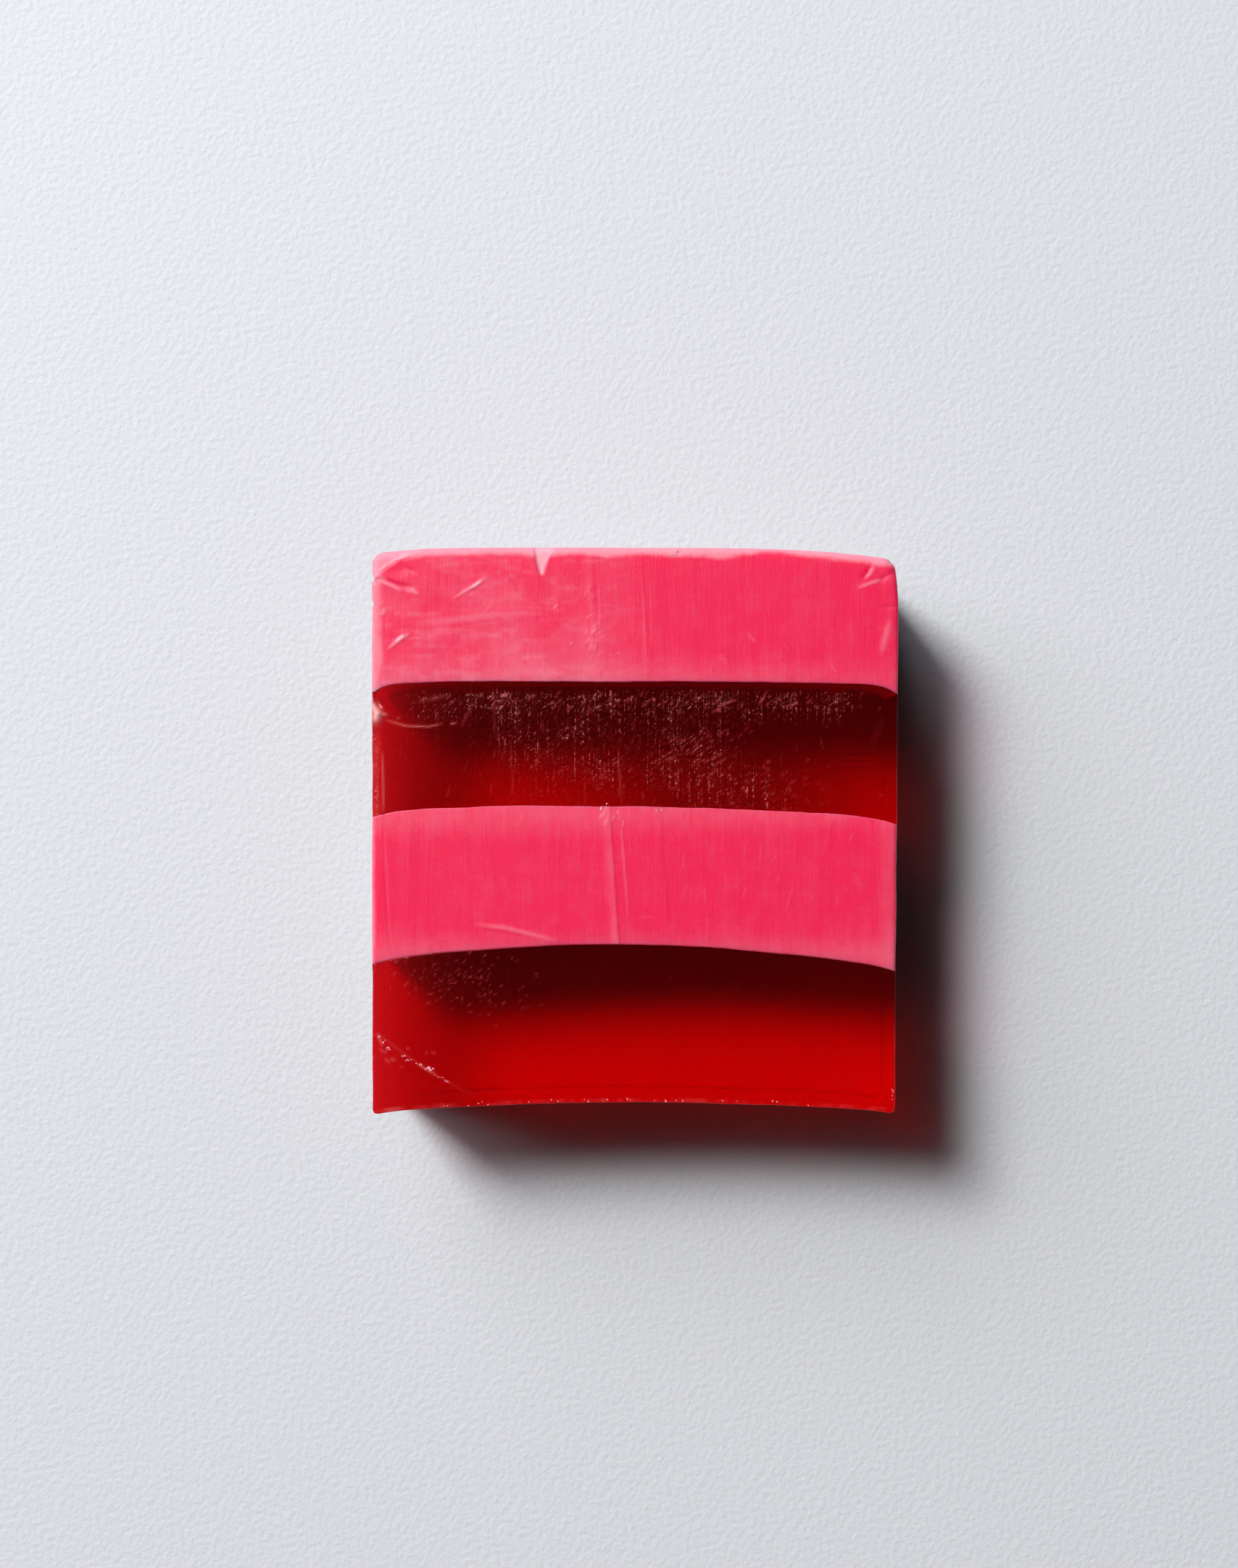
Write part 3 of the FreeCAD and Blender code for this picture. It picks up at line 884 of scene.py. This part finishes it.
def pink_soap(name, scattering):
    """Opaque pink, paler where it is scuffed and where a sheen and highlights are painted on, with drag
    lines across its cut faces.

    scattering: the share of its light that spreads under the surface. It greys a tiny crumb.
    """
    material, tree = new_material(name)
    cut, pale = value_of(tree, "cut"), value_of(tree, "pale")
    streak = noise_node(tree, (0.32, 5.0, 5.0), 3, 0.6)
    wide_streak = noise_node(tree, (1.4, 12.0, 12.0), 2)
    grain = noise_node(tree, (0.28, 0.34, 0.3), 3, 0.65)
    mottle = noise_node(tree, (2.6, 2.2, 2.4), 5, 0.65)
    pits = noise_node(tree, (0.8, 0.8, 0.8), 1)
    streaks = sum_of(tree, [centred(tree, streak, 0.06), centred(tree, wide_streak, 0.05)])
    spread = sum_of(tree, [
        pale,
        times(tree, streaks, cut),
        centred(tree, grain, 0.07),
        centred(tree, mottle, 0.10),
    ])
    factor = math_node(tree, "MAXIMUM", math_node(tree, "MINIMUM", spread, 1.0), 0.0)
    colour = mix_colour(tree, factor, PINK, SCUFF_AND_SHEEN_PINK)
    on_walls = math_node(tree, "SUBTRACT", 1.0, cut)
    height = sum_of(tree, [
        times(tree, centred(tree, streak, 0.016), cut),
        centred(tree, grain, 0.010),
        times(tree, tops_of(tree, pits, 0.68, -0.5), on_walls),
        times(tree, centred(tree, mottle, 0.06), on_walls),
    ])
    shader = add(tree, "ShaderNodeBsdfPrincipled", {
        "Base Color": muted_for_bounces(tree, colour, BOUNCED_PINK),
        "Roughness": math_node(tree, "ADD", 0.42, times(tree, pale, 0.2)),
        "IOR": SOAP_IOR,
        "Normal": bump(tree, height),
        "Subsurface Weight": scattering,
        "Subsurface Radius": (1.0, 0.25, 0.35),
        "Subsurface Scale": 0.0015,
    })
    past = mix_colour(tree, value_of(tree, "lets_light"), NO_LIGHT, LIGHT_PAST_PINK)
    add(tree, "ShaderNodeOutputMaterial", {"Surface": let_light_through(tree, shader, past)})
    return material


def red_soap():
    """Clear red, made cloudier near its -X wall to stand in for window light entering there, roughened
    where the knife tore it, with painted glints on the torn parts.
    """
    material, tree = new_material("clear_red_soap")
    pale, rough = value_of(tree, "pale"), value_of(tree, "rough")
    streak = noise_node(tree, (0.24, 9.0, 9.0), 2, 0.5)
    grain = noise_node(tree, (0.30, 0.50, 0.4), 2, 0.5)
    lumps = noise_node(tree, (1.5, 0.8, 1.0), 3, 0.55, (0, 0, 0.6))
    glint_dashes = noise_node(tree, (0.85, 0.24, 0.5), 1, 0.5, (0, 0, -0.78))
    lines = tops_of(tree, streak, 0.50, 7.0)
    crinkled = times(tree, centred(tree, lumps, 0.17), math_node(tree, "POWER", rough, 2.0))
    grained = times(tree, centred(tree, grain, 0.13), math_node(tree, "ADD", lines, 0.12))
    height = sum_of(tree, [
        crinkled,
        times(tree, grained, rough),
        times(tree, ridges(tree, 0.42, -0.52), times(tree, value_of(tree, "ridged"), 0.016)),
        centred(tree, streak, 0.003),
        centred(tree, grain, 0.002),
    ])
    # Painted glints: pale specks along the drag lines and dashes over the torn face.
    glint_specks = sum_of(tree, [
        times(tree, tops_of(tree, grain, 0.54, 5.0), lines),
        tops_of(tree, glint_dashes, 0.62, 4.0),
    ])
    pale = sum_of(tree, [pale, times(tree, glint_specks, times(tree, rough, 0.8))])
    pale = math_node(tree, "MINIMUM", pale, 1.0)
    opaque = sum_of(tree, [times(tree, pale, 0.8), value_of(tree, "cloud_and_side_light")])
    clear = math_node(tree, "SUBTRACT", 1.0, opaque)
    colour = mix_colour(tree, pale, RED, SCUFF_AND_GLINT_RED)
    shader = add(tree, "ShaderNodeBsdfPrincipled", {
        "Base Color": muted_for_bounces(tree, colour, BOUNCED_RED),
        "Roughness": sum_of(tree, [times(tree, rough, 0.08), times(tree, pale, 0.4), 0.13]),
        "IOR": SOAP_IOR,
        "Normal": bump(tree, height),
        "Specular Tint": RED_GLINTS,
        "Transmission Weight": math_node(tree, "MAXIMUM", clear, 0.0),
    })
    surface = let_light_through(tree, shader, value_of(tree, "lets_light"))
    volume = add(tree, "ShaderNodeVolumeAbsorption", RED_DEPTH)
    add(tree, "ShaderNodeOutputMaterial", {"Surface": surface, "Volume": volume.outputs[0]})
    return material


def backdrop(tree, kind):
    """The even pale light of the room's far end."""
    return add(tree, kind, BACKDROP).outputs[0]


def floor_material():
    """A pale grained floor that melts into the backdrop well away from the bar."""
    material, tree = new_material("pale_grained_floor")
    cells = noise_node(tree, (0.85, 0.85, 0.85), 1, 0.5, (0, 0, 0.6))
    broad = noise_node(tree, (5.0, 5.0, 5.0), 2, 0.5)
    height = sum_of(tree, [centred(tree, cells, 0.045), centred(tree, broad, 0.012)])
    shader = add(tree, "ShaderNodeBsdfPrincipled", {
        "Base Color": FLOOR,
        "Roughness": 0.65,
        "Normal": bump(tree, height),
    })
    place = add(tree, "ShaderNodeTexCoord").outputs["Object"]
    away = add(tree, "ShaderNodeVectorMath", {0: place}, operation="LENGTH").outputs["Value"]
    inputs = {"Value": away, "From Min": FADE[0] * MM, "From Max": FADE[1] * MM}
    fade = add(tree, "ShaderNodeMapRange", inputs, interpolation_type="SMOOTHSTEP")
    far = backdrop(tree, "ShaderNodeEmission")
    mix = add(tree, "ShaderNodeMixShader", {0: fade.outputs[0], 1: shader.outputs[0], 2: far})
    add(tree, "ShaderNodeOutputMaterial", {"Surface": mix.outputs[0]})
    return material


# ---------------------------------------------------------------- stage

def add_camera():
    """The camera looks straight down, with +Y up in the picture."""
    data = bpy.data.cameras.new("camera")
    data.sensor_fit = "VERTICAL"
    data.lens = data.sensor_height * CAMERA_HEIGHT / PICTURE_HEIGHT
    data.clip_start = 0.01
    camera = bpy.data.objects.new("camera", data)
    x, y = CAMERA_OVER
    camera.location = Vector((x, y, THICKNESS + CAMERA_HEIGHT)) * MM
    bpy.context.scene.collection.objects.link(camera)
    bpy.context.scene.camera = camera


def add_light(name, is_mirrored, slope, width, height, watts, colour):
    """A wide light on the -X, +Y side that faces the bar. is_mirrored: glossy faces show it."""
    data = bpy.data.lights.new(name, "AREA")
    data.shape = "RECTANGLE"
    data.size = width * MM
    data.size_y = height * MM
    data.energy = watts
    data.color = colour
    light = bpy.data.objects.new(name, data)
    way = Vector((-slope, slope, 1.0)).normalized()
    light.location = way * LIGHT_DISTANCE * MM
    light.rotation_euler = way.to_track_quat("Z", "Y").to_euler()
    light.visible_glossy = is_mirrored
    bpy.context.scene.collection.objects.link(light)


def add_world():
    """Almost no light from around, but a pale backdrop behind the floor's far edge."""
    world = bpy.data.worlds.new("room")
    world.use_nodes = True
    tree = world.node_tree
    tree.nodes.clear()
    dim = add(tree, "ShaderNodeBackground", DIM_ROOM)
    pale = backdrop(tree, "ShaderNodeBackground")
    seen = add(tree, "ShaderNodeLightPath").outputs["Is Camera Ray"]
    mix = add(tree, "ShaderNodeMixShader", {0: seen, 1: dim.outputs[0], 2: pale})
    add(tree, "ShaderNodeOutputWorld", {"Surface": mix.outputs[0]})
    bpy.context.scene.world = world
    bpy.context.scene.view_settings.view_transform = "Standard"


def add_floor():
    """One wide flat floor at Z = 0."""
    size = FLOOR_REACH * MM
    corners = [(-size, -size, 0), (size, -size, 0), (size, size, 0), (-size, size, 0)]
    mesh = bpy.data.meshes.new("floor")
    mesh.from_pydata(corners, [], [(0, 1, 2, 3)])
    mesh.materials.append(floor_material())
    floor = bpy.data.objects.new("floor", mesh)
    bpy.context.scene.collection.objects.link(floor)


add_camera()
add_light("window", True, *WINDOW)
add_light("wall_below_window", False, *WALL_BELOW_WINDOW)
add_world()
add_floor()
pink, red = pink_soap("opaque_pink_soap", 1.0), red_soap()
make_layer(0, "top_pink_layer", pink)
make_layer(1, "upper_red_layer", red)
make_layer(2, "middle_pink_layer", pink)
make_layer(3, "lower_red_layer", red)
add_crumbs(pink_soap("pink_soap_crumbs", 0.0))
